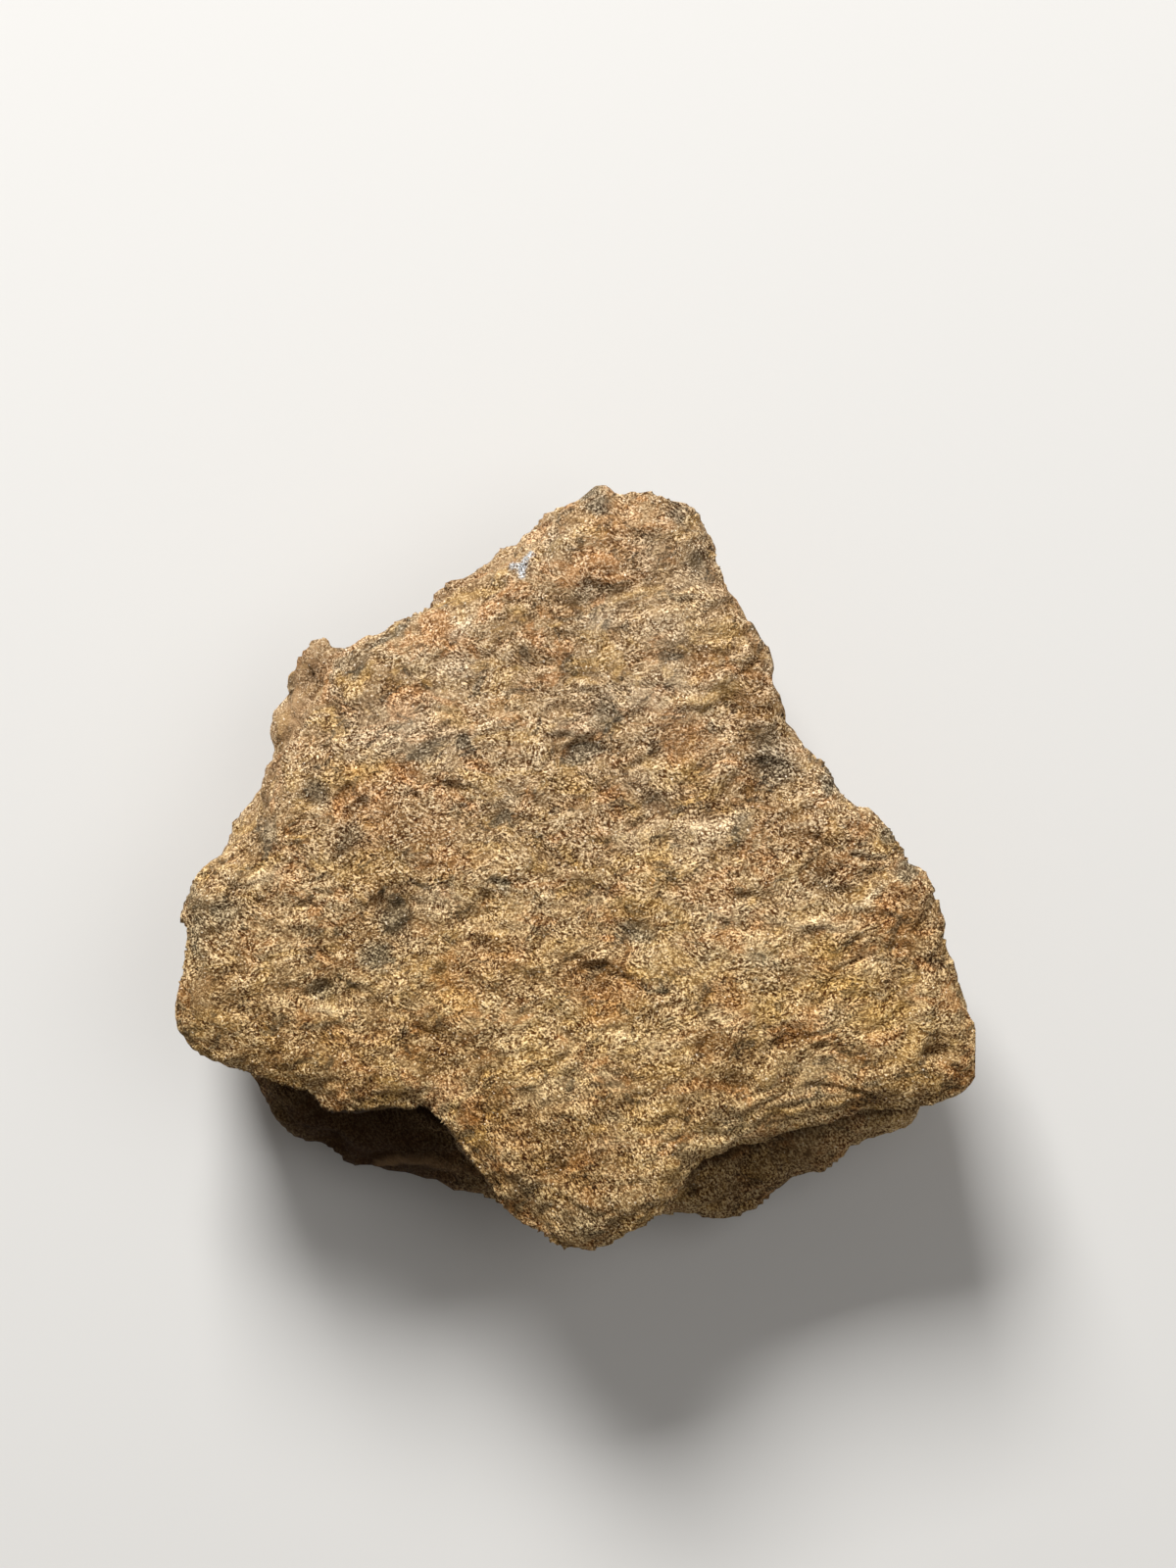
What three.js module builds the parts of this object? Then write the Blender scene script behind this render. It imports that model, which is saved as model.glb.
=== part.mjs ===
// Iron meteorite: one torn, flat fragment of nickel-iron about 31 mm across, lying on its back.
// +Z is up, out of the broad face. +Y runs from the middle to the peak of that face. A small flat
// spot under the middle rests on the ground, and the origin is there, under the middle of the piece.
//
// The piece is one solid, made of closed rings from the middle of the face outwards, down the torn
// wall, and back under the piece to the flat spot. Three outlines give its plan: the edge of the
// face, the waist, and the rim of the rear layer. Where the waist lies far inside the other two, the
// face overhangs a hollow. That happens at two places, left and right of the spur at the -Y end.
import * as THREE from "three";
import { ImprovedNoise } from "three/addons/math/ImprovedNoise.js";

// Driving sizes, in millimetres.
const FACE_HEIGHT = 10.1;
const FACE_SAG = 0.0026; // drop of the face per square millimetre of distance from its middle
const SHOULDER = { in: 0.7, down: 0.15 }; // where the face starts to round over
const LIP = { edge: 0.6, thickness: 1.2, in: 0.5, uneven: 1.0 }; // the layer that overhangs
const WAIST = { top: 0.3, bottom: 0.7 }; // shares of the way from the lip down to the rear layer
const REAR = { shoulderIn: 0.6, shoulderUp: 0.7, underIn: 0.7, underDown: 0.8 };
const UNEVEN_OVER = 5; // distance along the wall over which the lip grows thicker and thinner

// The underside climbs from the flat spot to the rim, a little slower at first. Its relief grows
// over the first share of that way and dies out at the rim. It never sinks below a share of it.
const UNDERSIDE = { slowStart: 1.15, grownBy: 0.3, rimPower: 6, lowest: 0.25 };

// Fineness: points round a full ring, and the rings of the face and of the underside.
const SPOKES = 138;
const FACE_RINGS = 20;
const UNDERSIDE_RINGS = 12;
const FEWEST_POINTS = 6;
const BASE_POINTS = 22;
const WALL_STEPS = 10; // from the edge of the face down to the rear rim

// The edge of the face, counterclockwise from its peak: [x, y].
const FACE_EDGE = [
  [1.0, 15.1], [0.3, 14.6], [-0.3, 14.2], [-0.7, 13.5], [-1.8, 12.5], [-2.6, 12.2],
  [-3.7, 11.4], [-5.3, 10.4], [-6.6, 9.8], [-8.7, 8.5], [-9.8, 7.2], [-10.5, 5.7],
  [-11.4, 4.1], [-12.1, 2.5], [-13.3, 0.6], [-14.3, 0.0], [-14.8, -0.3], [-15.3, -1.4],
  [-15.5, -2.0], [-15.4, -2.5], [-15.5, -3.8], [-15.8, -5.5], [-15.6, -6.2], [-14.8, -7.3],
  [-13.3, -7.9], [-11.8, -8.5], [-10.4, -8.9], [-10.0, -9.4], [-9.3, -9.6], [-7.8, -9.4],
  [-5.5, -9.4], [-5.4, -9.8], [-4.8, -10.5], [-4.0, -11.6], [-3.3, -12.7], [-2.7, -13.6],
  [-2.2, -14.0], [-1.5, -14.3], [-1.0, -14.8], [-0.3, -15.1], [1.3, -14.8], [2.2, -14.4],
  [3.6, -13.6], [4.1, -12.5], [4.3, -11.9], [4.9, -11.5], [6.7, -10.8], [8.2, -10.5],
  [9.7, -9.9], [11.3, -9.5], [13.2, -9.5], [14.9, -8.9], [15.5, -8.4], [15.8, -7.7],
  [15.6, -6.1], [14.9, -4.5], [14.5, -2.5], [14.4, -1.5], [14.2, -0.8], [13.2, 0.2],
  [12.8, 1.1], [12.0, 1.8], [11.0, 2.4], [10.2, 3.2], [10.1, 3.7], [9.1, 4.7], [8.3, 5.6],
  [8.2, 6.3], [7.7, 7.5], [7.6, 8.7], [7.2, 9.0], [6.9, 9.7], [5.9, 11.2], [5.4, 12.9],
  [5.0, 13.5], [4.7, 14.1], [3.4, 14.6], [2.7, 14.8], [2.0, 14.7],
];

// The waist between the two layers, deep inside them under the two hollows: [x, y].
const WAIST_EDGE = [
  [1.0, 14.3], [-0.7, 13.8], [-2.4, 12.5], [-4.3, 11.5], [-6.2, 10.2], [-8.0, 9.0], [-10.0, 8.2],
  [-10.9, 6.6], [-11.5, 4.6], [-12.6, 2.2], [-14.0, 0.0], [-14.9, -1.6], [-15.0, -3.6],
  [-14.9, -5.4], [-14.2, -6.7], [-12.5, -7.3], [-10.2, -6.9], [-7.8, -5.9], [-5.6, -6.2],
  [-4.4, -8.2], [-3.6, -10.4], [-2.9, -12.0], [-1.7, -13.3], [0.6, -13.9], [2.6, -13.0],
  [3.4, -11.2], [4.4, -9.2], [6.0, -7.6], [8.2, -6.8], [10.6, -6.9], [12.9, -7.8], [14.5, -7.5],
  [15.0, -6.0], [14.3, -3.9], [13.9, -1.9], [12.9, -0.3], [11.6, 1.4], [9.7, 3.0], [8.8, 4.6],
  [7.8, 6.0], [7.3, 7.8], [6.5, 9.6], [5.5, 11.4], [4.7, 13.3], [2.8, 14.3],
];

// The rim of the rear layer, which wanders up and down: [x, y, z].
const REAR_EDGE = [
  [-0.7, 14.4, 5.2], [-1.3, 14.1, 5.0], [-2.1, 13.0, 4.8], [-2.9, 12.8, 5.0], [-3.7, 12.0, 5.2],
  [-5.1, 11.3, 5.4], [-5.6, 11.1, 5.5], [-6.5, 10.1, 5.4], [-8.4, 8.8, 5.6], [-9.6, 8.8, 6.4],
  [-10.3, 9.0, 6.8], [-10.8, 8.8, 6.7], [-11.4, 7.8, 5.9], [-11.5, 7.1, 5.2], [-12.0, 5.9, 5.0],
  [-12.0, 4.5, 4.6], [-12.5, 3.2, 4.6], [-13.5, 2.1, 4.8], [-13.9, 1.0, 4.8], [-14.5, -0.1, 4.4],
  [-15.1, -1.0, 4.2], [-15.2, -3.0, 4.2], [-15.3, -4.8, 4.1], [-14.8, -6.3, 4.0],
  [-13.9, -7.6, 4.0], [-12.9, -9.0, 4.1], [-12.0, -10.3, 4.1], [-10.7, -11.3, 4.0],
  [-10.2, -11.3, 3.9], [-8.8, -12.1, 3.8], [-7.1, -12.4, 3.8], [-5.9, -12.6, 3.7],
  [-4.7, -13.1, 3.7], [-3.5, -13.5, 3.8], [-1.8, -13.8, 4.0], [0.3, -14.0, 4.3],
  [2.4, -13.9, 4.2], [4.5, -13.9, 3.9], [5.9, -14.2, 3.7], [6.7, -14.1, 3.6], [7.5, -13.7, 3.7],
  [8.7, -12.8, 3.9], [9.2, -12.3, 4.0], [10.0, -12.3, 4.1], [10.9, -11.5, 4.2],
  [11.8, -10.9, 4.3], [12.8, -10.7, 4.4], [13.7, -10.1, 4.6], [14.2, -8.8, 4.8],
  [14.8, -7.4, 4.9], [14.6, -5.8, 4.6], [13.9, -4.0, 4.2], [13.6, -2.2, 4.0], [12.7, -0.8, 4.2],
  [11.7, 0.9, 4.5], [9.9, 2.3, 4.4], [8.7, 3.7, 4.1], [7.5, 5.2, 3.9], [7.2, 7.0, 4.1],
  [6.6, 8.6, 4.4], [5.6, 10.4, 4.6], [4.7, 12.4, 4.9], [3.2, 13.5, 5.2], [1.0, 14.2, 5.3],
];

// The flat spot that the piece rests on: [x, y].
const BASE_EDGE = [
  [3.2, 0.3], [1.6, 1.5], [-0.8, 1.2], [-2.9, 1.6], [-3.8, -0.2], [-3.2, -2.4], [-3.9, -4.0],
  [-1.4, -4.9], [0.9, -4.2], [2.8, -4.4], [3.6, -2.6],
];
const BASE_MIDDLE = [0, -1.5];

// Pits that the weather has eaten into the face: [x, y, radius, depth].
const FACE_PITS = [
  [0.3, 4.6, 1.2, 0.34], [3.0, 2.5, 1.0, 0.24], [-7.2, -1.8, 1.4, 0.34], [-8.5, 2.9, 1.1, 0.26],
  [1.7, -2.5, 1.3, 0.3], [0.7, -4.5, 1.4, 0.32], [8.2, 4.0, 1.6, 0.34], [5.9, 6.2, 1.4, 0.3],
  [9.8, -0.4, 1.6, 0.26], [-9.5, -5.0, 1.3, 0.28], [6.2, -8.0, 1.3, 0.28], [-3.0, 2.2, 1.0, 0.2],
  [4.4, 8.2, 1.2, 0.24], [-13.6, -2.4, 1.2, 0.24], [1.8, -9.3, 1.1, 0.24], [14.3, -7.4, 1.0, 0.3],
];

// Broad thumbprint hollows under the piece, with ridges where they meet: [x, y, radius, depth].
const THUMBPRINTS = [
  [9.2, -5.0, 4.6, 1.3], [-10.2, -5.8, 4.4, 1.2], [-7.0, 4.8, 4.2, 1.2], [5.8, 3.8, 3.6, 0.9],
  [0.2, 9.2, 3.8, 1.1], [1.2, -10.2, 3.4, 0.8], [-5.6, -9.6, 2.8, 0.7], [11.6, -0.6, 2.6, 0.7],
];

// Roughness of the torn surfaces: [wavelength, height] of each layer of noise.
const FACE_ROUGHNESS = [[7.5, 0.34], [3.2, 0.26]];
const UNDERSIDE_ROUGHNESS = [[7.0, 1.4], [3.0, 0.5]];
const WALL_ROUGHNESS = [[4.2, 1.4], [2.4, 0.7]];
const WALL_RISE = 0.5; // share of that roughness that also lifts or lowers a place
const WALL_SHY = 0.15; // how far the lumps of the wall stay inside its edges, seen from above
const WALL_GRAIN = 1.8; // how much closer the wall's ledges lie in height than along it

// Heights at which the noise is read, far enough apart that no two surfaces share a pattern.
const NOISE_HEIGHT = { wallOut: 0, wallUp: 20, underside: 4, perLayer: 10 };

const IRON_CRUST = { color: 0x8a6c49, roughness: 0.78, metalness: 0.15 };

const TABLE_STEPS = 2400; // samples that an outline is read from
const noise = new ImprovedNoise();

// Sum of the layers of noise at a point of space.
function roughnessAt(layers, x, y, z) {
  return layers.reduce(
    (sum, [wavelength, height], layer) =>
      sum + height * noise.noise(
        x / wavelength,
        y / wavelength,
        z / wavelength + NOISE_HEIGHT.perLayer * layer,
      ),
    0,
  );
}

// Depth of the deepest round hollow of a list at a place: a bowl with a soft rim.
function hollowAt(hollows, x, y) {
  return hollows.reduce((deepest, [cx, cy, radius, depth]) => {
    const off = Math.min(1, Math.hypot(x - cx, y - cy) / radius);
    return Math.max(deepest, depth * (1 - off * off) ** 2);
  }, 0);
}

const turnOf = (x, y) => (Math.atan2(y, x) / (2 * Math.PI) + 1) % 1;

// A smooth closed outline that each ray from the middle crosses once, read by its turn from +X.
class Outline {
  constructor(points) {
    const places = points.map(([x, y, z = 0]) => new THREE.Vector3(x, y, z));
    this.curve = new THREE.CatmullRomCurve3(places, true, "centripetal");
    this.curve.arcLengthDivisions = TABLE_STEPS;
    this.table = this.curve
      .getSpacedPoints(TABLE_STEPS)
      .slice(1)
      .map(({ x, y, z }) => ({ turn: turnOf(x, y), radius: Math.hypot(x, y), height: z }))
      .sort((a, b) => a.turn - b.turn);
  }

  at(turn) {
    const found = this.table.findIndex((entry) => entry.turn > turn);
    const after = this.table[Math.max(found, 0)];
    const before = this.table.at(found <= 0 ? -1 : found - 1);
    const gap = (after.turn - before.turn + 1) % 1;
    const share = gap > 0 ? ((turn - before.turn + 1) % 1) / gap : 0;
    return {
      radius: THREE.MathUtils.lerp(before.radius, after.radius, share),
      height: THREE.MathUtils.lerp(before.height, after.height, share),
    };
  }
}

const faceEdge = new Outline(FACE_EDGE);
const waistEdge = new Outline(WAIST_EDGE);
const rearEdge = new Outline(REAR_EDGE);
const baseEdge = new Outline(BASE_EDGE);

function faceHeight(x, y) {
  const dome = FACE_HEIGHT - FACE_SAG * (x * x + y * y);
  return dome + roughnessAt(FACE_ROUGHNESS, x, y, 0) - hollowAt(FACE_PITS, x, y);
}

// One ray from the middle, at a share of the way round the edge of the face, with what it crosses.
function spokeAt(share) {
  const edge = faceEdge.curve.getPointAt(share);
  const turn = turnOf(edge.x, edge.y);
  return {
    direction: edge.clone().normalize(),
    face: edge.length(),
    top: faceHeight(edge.x, edge.y),
    uneven: roughnessAt([[UNEVEN_OVER, 1]], edge.x, edge.y, 0),
    waist: waistEdge.at(turn).radius,
    rear: rearEdge.at(turn),
    base: baseEdge.at(turn).radius,
  };
}

const pointOn = ({ direction }, radius, height) =>
  direction.clone().multiplyScalar(radius).setZ(height);

// The points of one ring, each placed on its spoke.
const ring = (count, place) =>
  Array.from({ length: count }, (_, i) => place(spokeAt(i / count)));

// Rings of the face, from near its middle to just inside its shoulder.
function faceRings() {
  return Array.from({ length: FACE_RINGS - 1 }, (_, k) => {
    const share = (k + 1) / FACE_RINGS;
    const count = Math.max(FEWEST_POINTS, Math.round(SPOKES * share));
    return ring(count, (spoke) => {
      const flat = pointOn(spoke, (spoke.face - SHOULDER.in) * share, 0);
      return flat.setZ(faceHeight(flat.x, flat.y));
    });
  });
}

// The torn wall on one spoke, from the edge of the face through the waist to the rear rim.
function wallCurve(spoke) {
  const { face, top, uneven, waist, rear } = spoke;
  const lipHeight = top - LIP.edge - LIP.thickness + LIP.uneven * uneven;
  const shoulderHeight = rear.height + REAR.shoulderUp;
  const places = [
    [face, top - LIP.edge],
    [face - LIP.in, lipHeight],
    [waist, THREE.MathUtils.lerp(lipHeight, shoulderHeight, WAIST.top)],
    [waist, THREE.MathUtils.lerp(lipHeight, shoulderHeight, WAIST.bottom)],
    [rear.radius - REAR.shoulderIn, shoulderHeight],
    [rear.radius, rear.height],
  ];
  return new THREE.CatmullRomCurve3(places.map((place) => pointOn(spoke, ...place)));
}

// Points down one spoke's wall. Its two edges keep their places, with lumps and ledges between.
function wallPoints(spoke) {
  const reach = Math.max(spoke.face, spoke.rear.radius) - WALL_SHY;
  return wallCurve(spoke).getSpacedPoints(WALL_STEPS).map((point, step) => {
    const between = Math.sin((Math.PI * step) / WALL_STEPS);
    const [out, up] = [NOISE_HEIGHT.wallOut, NOISE_HEIGHT.wallUp].map((base) =>
      roughnessAt(WALL_ROUGHNESS, point.x, point.y, point.z * WALL_GRAIN + base),
    );
    const radius = Math.hypot(point.x, point.y);
    const farthest = Math.max(radius, reach);
    const height = point.z + WALL_RISE * up * between;
    return pointOn(spoke, Math.min(radius + out * between, farthest), height);
  });
}

// Rings from the shoulder of the face down the wall to the underside of the rear rim.
function wallRings() {
  const columns = Array.from({ length: SPOKES }, (_, i) => {
    const spoke = spokeAt(i / SPOKES);
    const { face, top, rear } = spoke;
    return [
      pointOn(spoke, face - SHOULDER.in, top - SHOULDER.down),
      ...wallPoints(spoke),
      pointOn(spoke, rear.radius - REAR.underIn, rear.height - REAR.underDown),
    ];
  });
  return columns[0].map((_, k) => columns.map((column) => column[k]));
}

// Rings under the piece, from the rear rim in to the edge of the flat spot.
function undersideRings() {
  return Array.from({ length: UNDERSIDE_RINGS }, (_, k) => {
    const share = 1 - (k + 1) / UNDERSIDE_RINGS; // 0 at the flat spot and 1 at the rim
    const count = Math.round(THREE.MathUtils.lerp(BASE_POINTS, SPOKES, share));
    return ring(count, (spoke) => {
      const rimRadius = spoke.rear.radius - REAR.underIn;
      const flat = pointOn(spoke, THREE.MathUtils.lerp(spoke.base, rimRadius, share), 0);
      const roughness = roughnessAt(UNDERSIDE_ROUGHNESS, flat.x, flat.y, NOISE_HEIGHT.underside);
      const relief = hollowAt(THUMBPRINTS, flat.x, flat.y) + roughness;
      const grown = THREE.MathUtils.smoothstep(share, 0, UNDERSIDE.grownBy);
      const between = grown * (1 - share ** UNDERSIDE.rimPower);
      const slope = (spoke.rear.height - REAR.underDown) * share ** UNDERSIDE.slowStart;
      const height = Math.max(slope + relief * between, UNDERSIDE.lowest * slope);
      return flat.setZ(share === 0 ? 0 : height);
    });
  });
}

// Joins two neighbouring rings with triangles, stepping next along the one that lags behind.
function stitch(first, second, triangles) {
  for (let i = 0, j = 0; i < first.length || j < second.length; ) {
    const a = first[i % first.length];
    const b = second[j % second.length];
    if ((j + 1) / second.length <= (i + 1) / first.length) {
      j += 1;
      triangles.push(a, b, second[j % second.length]);
    } else {
      i += 1;
      triangles.push(a, b, first[i % first.length]);
    }
  }
}

// One closed surface through a middle point of the face, the rings, and a middle point underneath.
function meteoriteGeometry() {
  const rings = [...faceRings(), ...wallRings(), ...undersideRings()];
  const middleOfBase = new THREE.Vector3(...BASE_MIDDLE, 0);
  const points = [new THREE.Vector3(0, 0, faceHeight(0, 0)), ...rings.flat(), middleOfBase];
  let next = 1;
  const numbered = rings.map((places) => places.map(() => next++));
  const triangles = [];
  const first = numbered[0];
  const last = numbered.at(-1);
  first.forEach((a, i) => triangles.push(0, a, first[(i + 1) % first.length]));
  for (let k = 1; k < numbered.length; k += 1) stitch(numbered[k - 1], numbered[k], triangles);
  last.forEach((a, i) => triangles.push(a, points.length - 1, last[(i + 1) % last.length]));

  const geometry = new THREE.BufferGeometry().setFromPoints(points);
  geometry.setIndex(triangles);
  geometry.computeBoundingBox();
  const { min, max } = geometry.boundingBox;
  geometry.translate(-(min.x + max.x) / 2, -(min.y + max.y) / 2, -min.z);
  geometry.computeVertexNormals();
  return geometry;
}

const meteorite = new THREE.Mesh(
  meteoriteGeometry(),
  new THREE.MeshStandardMaterial(IRON_CRUST),
);
meteorite.name = "meteorite";

const part = new THREE.Group();
part.name = "iron_meteorite";
part.add(meteorite);

export default part;
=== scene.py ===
import math

import bmesh
import bpy
import numpy as np
from mathutils import Matrix, Vector, noise
from mathutils.bvhtree import BVHTree


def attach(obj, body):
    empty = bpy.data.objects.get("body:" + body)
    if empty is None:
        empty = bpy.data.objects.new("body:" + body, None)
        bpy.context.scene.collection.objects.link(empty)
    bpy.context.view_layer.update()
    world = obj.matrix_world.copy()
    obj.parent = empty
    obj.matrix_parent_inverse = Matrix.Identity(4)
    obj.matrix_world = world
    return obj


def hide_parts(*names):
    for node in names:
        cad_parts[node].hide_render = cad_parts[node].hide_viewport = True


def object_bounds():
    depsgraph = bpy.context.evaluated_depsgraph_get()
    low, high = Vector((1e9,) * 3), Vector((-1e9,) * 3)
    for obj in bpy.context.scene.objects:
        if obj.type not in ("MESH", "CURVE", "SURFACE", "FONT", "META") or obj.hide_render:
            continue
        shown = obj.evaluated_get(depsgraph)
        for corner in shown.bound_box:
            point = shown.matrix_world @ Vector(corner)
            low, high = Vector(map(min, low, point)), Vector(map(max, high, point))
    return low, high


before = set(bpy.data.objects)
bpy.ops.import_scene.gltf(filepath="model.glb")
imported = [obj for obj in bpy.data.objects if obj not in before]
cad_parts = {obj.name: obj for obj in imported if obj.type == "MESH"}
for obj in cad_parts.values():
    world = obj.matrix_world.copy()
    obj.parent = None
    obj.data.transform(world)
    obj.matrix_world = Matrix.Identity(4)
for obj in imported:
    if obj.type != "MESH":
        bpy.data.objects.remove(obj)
cad_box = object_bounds()


# The meteorite: one torn, flat fragment of nickel-iron with a thin crust of rust all over it.
# The atmosphere and the weather shaped it: dimpled on its broad face, and ragged where it tore.
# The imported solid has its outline, hollows and thumbprints, and this skin has its grain.
MM = 0.001
SKIN_VOXEL = 0.226  # mm, as are all lengths of the skin until it is scaled to metres
WELD_GAP = 0.001
RELAX_FACTOR = 0.5
RELAX_ROUNDS = 3
FACE_LOWEST = 6.6  # the face and the rounded lip round it lie above this height
FACE_STEEPEST = 0.15  # the least upward part of a face quad's normal

skin_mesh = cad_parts["meteorite"].data.copy()
skin_mesh.name = "meteorite_skin"
skin_mesh.transform(Matrix.Scale(1 / MM, 4))
skin = bpy.data.objects.new("meteorite_skin", skin_mesh)
bpy.context.scene.collection.objects.link(skin)

welded = bmesh.new()
welded.from_mesh(skin.data)
bmesh.ops.remove_doubles(welded, verts=welded.verts, dist=WELD_GAP)
welded.to_mesh(skin.data)
welded.free()

remesh = skin.modifiers.new("even_quads", "REMESH")
remesh.mode = "VOXEL"
remesh.voxel_size = SKIN_VOXEL
relax = skin.modifiers.new("soft_facets", "SMOOTH")
relax.factor = RELAX_FACTOR
relax.iterations = RELAX_ROUNDS
reshaped = skin.evaluated_get(bpy.context.evaluated_depsgraph_get())
even_mesh = bpy.data.meshes.new_from_object(reshaped)
skin.modifiers.clear()
skin.data = even_mesh

# The face is what the eye meets, so its quads are halved each way.
fine = bmesh.new()
fine.from_mesh(skin.data)
fine.normal_update()
face_quads = [
    quad for quad in fine.faces
    if quad.calc_center_median().z > FACE_LOWEST and quad.normal.z > FACE_STEEPEST
]
face_edges = list(dict.fromkeys(edge for quad in face_quads for edge in quad.edges))
bmesh.ops.subdivide_edges(fine, edges=face_edges, cuts=1, use_grid_fill=True)
fine.to_mesh(skin.data)
fine.free()

# What is on the face: [x, y, half length, half width, tilt in degrees, strength].
# A pit's strength is about its depth in mm, and a ridge's about its height. The others only tint the skin,
# and some of them paint shade.
PITS = [
    [0.4, 4.7, 0.8, 0.4, -10, 0.26], [6.1, 6.3, 0.7, 0.5, 0, 0.26], [7.0, 6.0, 0.8, 0.35, -15, 0.24],
    [7.9, 4.5, 0.7, 0.35, -10, 0.12], [7.5, 3.9, 0.7, 0.7, 0, 0.12], [8.0, 3.3, 0.9, 0.5, 0, 0.12],
    [3.0, 2.5, 0.8, 0.5, -50, 0.2], [-3.0, 2.0, 0.7, 0.4, 20, 0.2], [-2.8, -0.7, 0.5, 0.35, 30, 0.24],
    [2.2, -2.5, 0.9, 0.5, -10, 0.26], [0.9, -4.2, 1.15, 0.3, -18, 0.3], [-7.0, -1.7, 0.6, 0.45, 60, 0.18],
    [-7.8, -3.3, 0.6, 0.45, -40, 0.22], [-9.0, -2.7, 0.4, 0.3, 30, 0.2], [-3.5, -1.5, 0.6, 0.35, 0, 0.18],
    [-3.3, -3.2, 1.0, 0.45, -15, 0.16], [-4.9, -4.1, 1.0, 0.3, -8, 0.2], [-6.1, -3.5, 0.35, 0.3, 0, 0.16],
    [-13.9, -2.9, 0.5, 0.5, 0, 0.28], [-13.0, -4.3, 0.35, 0.22, 20, 0.2], [-12.6, -1.6, 0.45, 0.25, 0, 0.2],
    [-10.2, -4.8, 0.7, 0.35, 20, 0.22], [-8.2, -5.2, 0.5, 0.28, 0, 0.22], [-5.3, -6.6, 0.9, 0.35, -35, 0.28],
    [-6.2, 2.9, 0.35, 0.28, -40, 0.22], [-4.7, 3.1, 0.8, 0.3, -40, 0.18], [-9.1, 2.9, 0.6, 0.35, 20, 0.2],
    [-8.5, 2.3, 0.45, 0.3, 0, 0.2], [-10.3, 3.1, 0.55, 0.4, -60, 0.18], [-1.6, 0.8, 0.8, 0.35, -12, 0.16],
    [3.8, -0.5, 0.45, 0.25, -40, 0.2], [4.6, -0.3, 0.3, 0.3, 0, 0.14], [6.7, -1.0, 0.6, 0.3, 20, 0.2],
    [8.5, 2.0, 0.9, 0.3, 20, 0.16], [9.0, 1.4, 0.8, 0.25, 10, 0.2], [9.4, 0.8, 0.7, 0.3, 15, 0.18],
    [9.9, -0.6, 1.1, 0.55, -30, 0.18], [11.5, 0.0, 0.6, 0.8, 0, 0.14], [11.9, 0.6, 0.5, 0.22, 20, 0.16],
    [13.1, -2.5, 1.0, 0.7, 20, 0.18], [12.0, -1.7, 0.55, 0.3, 0, 0.12], [5.4, -6.9, 0.8, 0.6, 60, 0.24],
    [6.4, -8.3, 0.6, 0.4, -15, 0.32], [8.2, -7.0, 1.1, 0.3, 10, 0.2], [10.1, -7.3, 1.0, 0.28, -10, 0.22],
    [12.0, -7.9, 0.55, 0.3, -20, 0.2], [14.3, -7.4, 0.85, 0.35, -6, 0.36], [4.6, 8.1, 0.8, 0.55, 10, 0.2],
    [7.4, 8.4, 0.35, 0.45, 0, 0.16], [6.9, 7.5, 0.5, 0.5, 0, 0.16], [1.2, 11.6, 0.45, 0.3, 0, 0.2],
    [1.5, 12.8, 0.5, 0.4, 0, 0.14], [2.3, 11.5, 0.6, 0.25, -30, 0.2], [0.5, 10.8, 1.0, 0.5, 10, 0.14],
    [-1.2, 10.2, 0.6, 0.4, 0, 0.12], [4.7, 12.1, 0.5, 0.5, 0, 0.12], [4.0, 4.8, 0.8, 0.5, 0, 0.14],
    [-0.5, 5.3, 0.6, 0.25, -20, 0.15], [6.6, 0.6, 0.6, 0.3, 20, 0.15], [1.8, -9.8, 0.7, 0.35, 30, 0.22],
    [-0.3, -10.0, 0.55, 0.6, 40, 0.16], [-2.2, -10.7, 1.0, 0.3, -5, 0.2], [-0.6, -11.9, 0.5, 0.6, -30, 0.2],
    [1.3, -11.5, 0.8, 0.5, 0, 0.15], [3.4, -4.9, 0.7, 0.3, 10, 0.12], [1.3, -5.7, 0.7, 0.3, 0, 0.15],
    [-13.6, 0.6, 0.5, 0.3, 60, 0.14], [-10.1, -9.0, 0.8, 0.3, -10, 0.15], [-3.3, -12.5, 0.35, 0.3, 0, 0.35],
    [-0.1, -6.8, 0.25, 0.14, 0, 0.3], [-1.8, -8.0, 0.4, 0.25, 40, 0.22], [-13.6, -0.9, 0.35, 0.25, 0, 0.2],
    [3.9, 8.2, 0.45, 0.6, 0, 0.1], [7.4, 3.7, 0.45, 0.4, 0, 0.16], [-7.1, -2.0, 0.4, 0.9, 20, 0.1],
    [-4.2, 4.7, 0.45, 0.35, -40, 0.16], [-8.8, 7.5, 0.5, 0.3, 30, 0.14], [-3.9, 10.5, 0.3, 0.25, 0, 0.16],
]
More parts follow.
